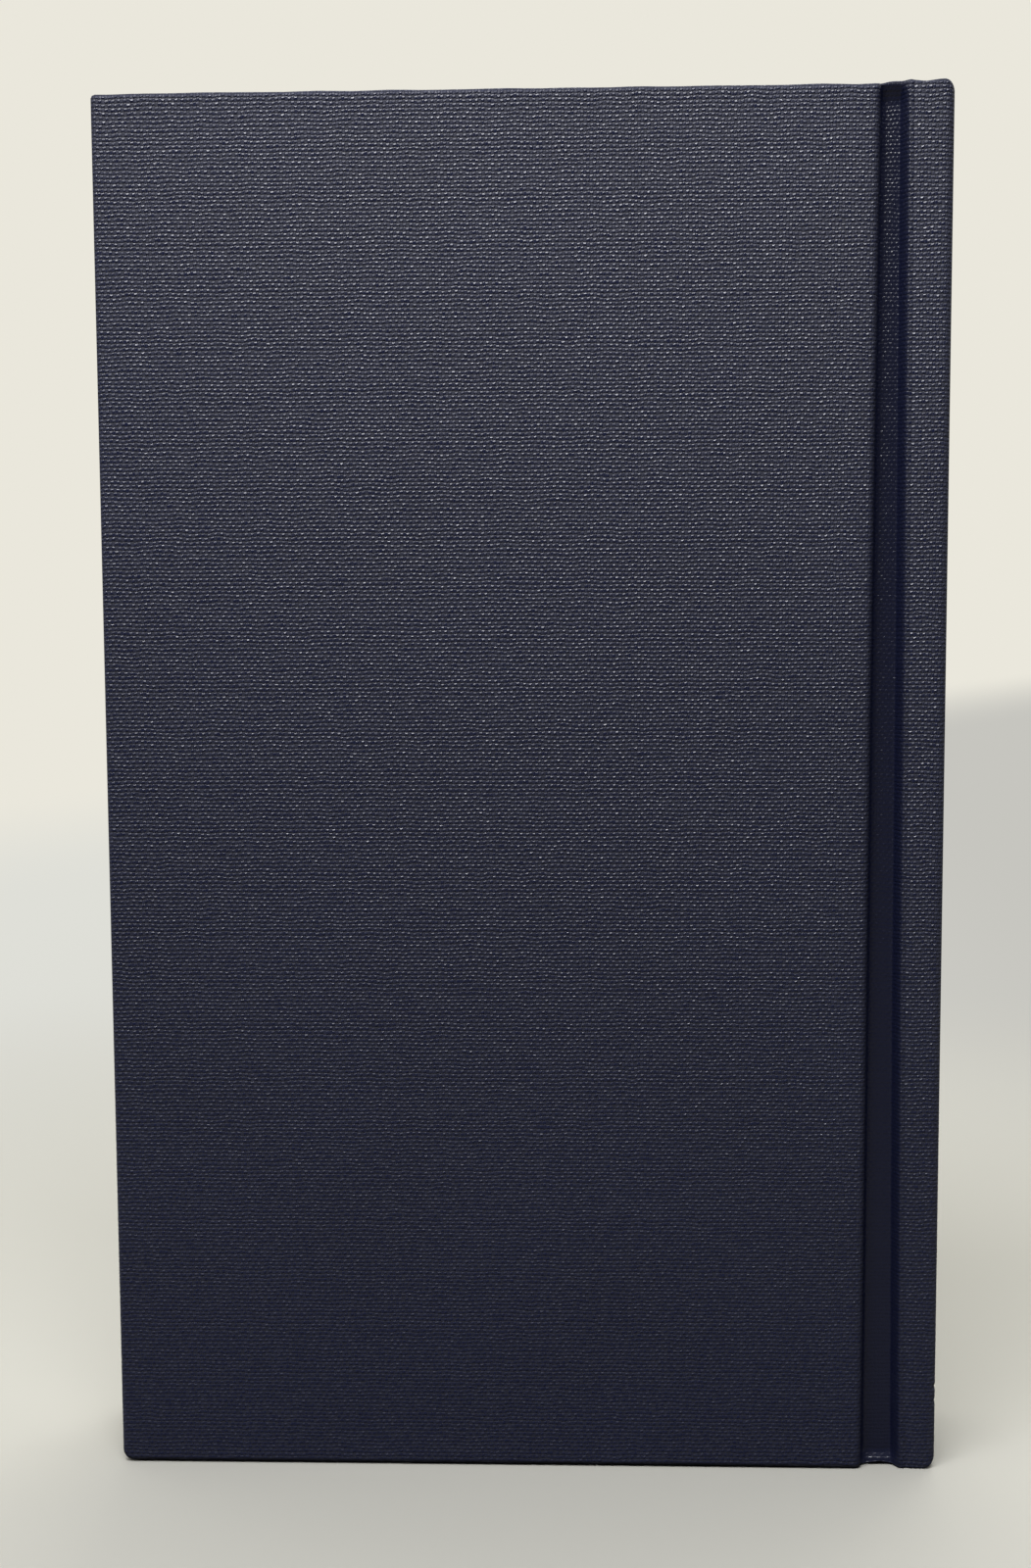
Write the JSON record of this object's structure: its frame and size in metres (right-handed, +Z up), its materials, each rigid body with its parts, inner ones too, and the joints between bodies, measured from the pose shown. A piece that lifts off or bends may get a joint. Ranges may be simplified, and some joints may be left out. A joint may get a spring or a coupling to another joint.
{
  "type": "hardback book",
  "caption": "Upright case-bound hardback book in dark filled cloth with a pressed French groove, flat spine and two covers that open on the joints.",
  "frame": {"origin": "on the surface that the book stands on, under the middle of its closed box", "axes": "+Z up from tail to head, +X towards the spine, +Y towards the front cover, -Y towards the back cover"},
  "size_m": [0.11, 0.0212, 0.182],
  "materials": {
    "book_cloth": "satin",
    "greyboard": "matte",
    "leaves": "matte",
    "endpaper": "matte",
    "mull": "matte",
    "kraft_paper": "matte",
    "woven_band": "satin"
  },
  "bodies": {
    "block": {"text_block": "leaves", "front_flyleaf": "endpaper", "back_flyleaf": "endpaper", "spine_mull": "mull", "spine_lining": "kraft_paper", "headband": "woven_band", "tailband": "woven_band", "spine_stiffener": "greyboard", "spine_cloth": "book_cloth"},
    "front_cover": {"front_board": "greyboard", "front_cover_cloth": "book_cloth", "front_mull_wing": "mull", "front_pastedown": "endpaper"},
    "back_cover": {"back_board": "greyboard", "back_cover_cloth": "book_cloth", "back_mull_wing": "mull", "back_pastedown": "endpaper"}
  },
  "joints": [
    {"name": "front_cover_hinge", "type": "hinge", "parent": "block", "child": "front_cover", "pos_m": [0.047, 0.0106, 0], "axis": [0, 0, -1], "range_deg": [0, 180]},
    {"name": "back_cover_hinge", "type": "hinge", "parent": "block", "child": "back_cover", "pos_m": [0.047, -0.0106, 0], "axis": [0, 0, 1], "range_deg": [0, 180]}
  ]
}
